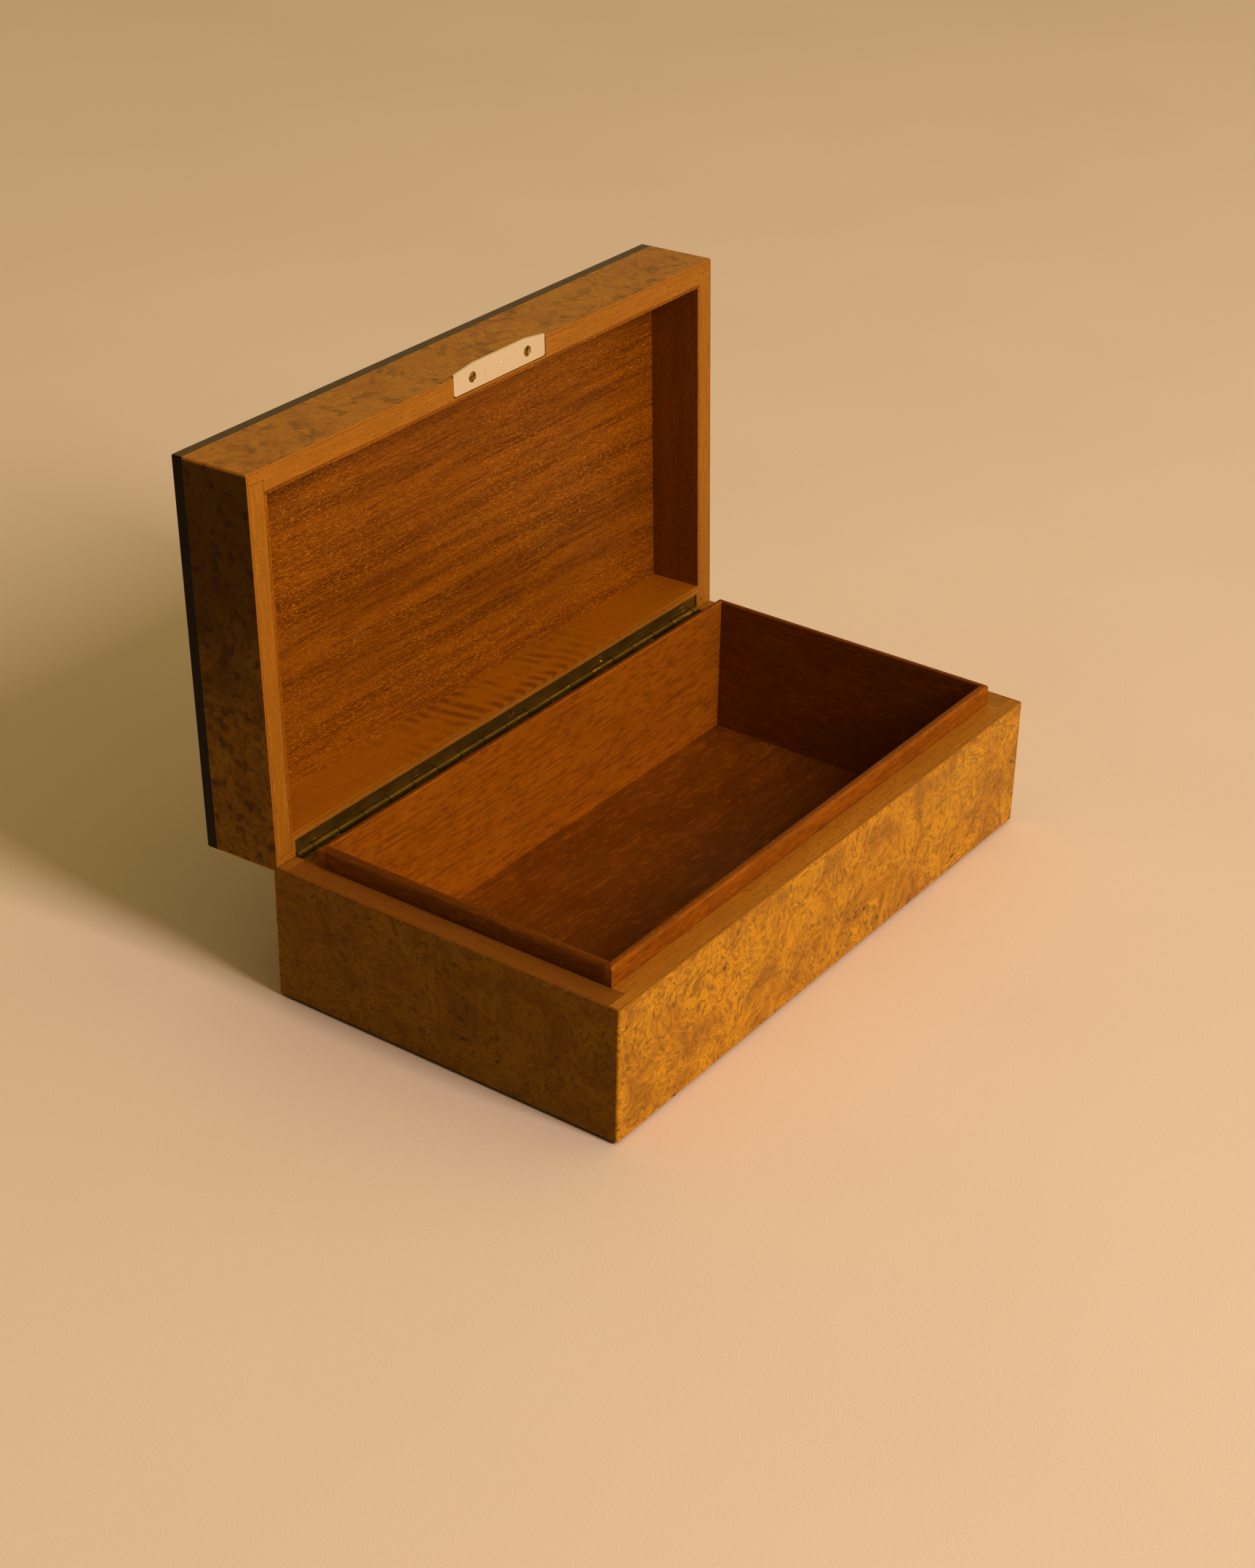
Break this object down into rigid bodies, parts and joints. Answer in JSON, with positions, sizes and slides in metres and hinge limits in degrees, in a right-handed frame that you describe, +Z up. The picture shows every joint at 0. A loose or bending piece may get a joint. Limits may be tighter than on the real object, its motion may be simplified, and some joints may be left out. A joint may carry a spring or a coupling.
{
  "type": "hinged wooden box",
  "caption": "Veneered wooden box with a raised inner liner, lid on a full-length piano hinge with a bevelled stop, and a metal lifting plate.",
  "frame": {"origin": "middle of the base's underside, on the surface it stands on", "axes": "+X along the length, +Y towards the hinge, +Z up; the lid stands open at rest"},
  "size_m": [0.25, 0.1728, 0.1894],
  "materials": {
    "burl_veneer": "burl veneer under a thin satin lacquer",
    "carcass_wood": "fine straight grain, satin lacquer",
    "liner_mahogany": "reddish mahogany, open pores, satin",
    "lid_mahogany": "ribbon-figured mahogany, open pores, satin",
    "black_binding": "ebonised hardwood, satin",
    "hinge_brass": "aged dark brass, soft sheen",
    "screw_brass": "aged brass, worn slots",
    "plate_nickel": "polished nickel plate",
    "felt": "dense wool felt"
  },
  "bodies": {
    "base": {"base_front_veneer": "burl_veneer", "base_back_veneer": "burl_veneer", "base_left_veneer": "burl_veneer", "base_right_veneer": "burl_veneer", "base_front_wall": "carcass_wood", "base_back_wall": "carcass_wood", "base_left_wall": "carcass_wood", "base_right_wall": "carcass_wood", "base_bottom_panel": "carcass_wood", "liner_front": "liner_mahogany", "liner_back": "liner_mahogany", "liner_left": "liner_mahogany", "liner_right": "liner_mahogany", "liner_floor": "liner_mahogany", "hinge_base_leaf": "hinge_brass", "hinge_pin": "hinge_brass", "hinge_base_screws": "screw_brass", "base_felt_pad": "felt"},
    "lid": {"lid_front_veneer": "burl_veneer", "lid_back_veneer": "burl_veneer", "lid_left_veneer": "burl_veneer", "lid_right_veneer": "burl_veneer", "lid_top_veneer": "burl_veneer", "lid_front_rail": "carcass_wood", "lid_back_rail": "carcass_wood", "lid_left_rail": "carcass_wood", "lid_right_rail": "carcass_wood", "lid_top_panel": "carcass_wood", "lid_lining_panel": "lid_mahogany", "lid_lining_front": "lid_mahogany", "lid_lining_back": "lid_mahogany", "lid_lining_left": "lid_mahogany", "lid_lining_right": "lid_mahogany", "lid_binding_front": "black_binding", "lid_binding_back": "black_binding", "lid_binding_left": "black_binding", "lid_binding_right": "black_binding", "hinge_lid_leaf": "hinge_brass", "hinge_lid_screws": "screw_brass", "thumb_plate_screws": "screw_brass", "thumb_plate": "plate_nickel"}
  },
  "joints": [
    {"name": "lid_hinge", "type": "hinge", "parent": "base", "child": "lid", "pos_m": [0, 0.0675, 0.0503], "axis": [1, 0, 0], "range_deg": [0, 92]}
  ]
}
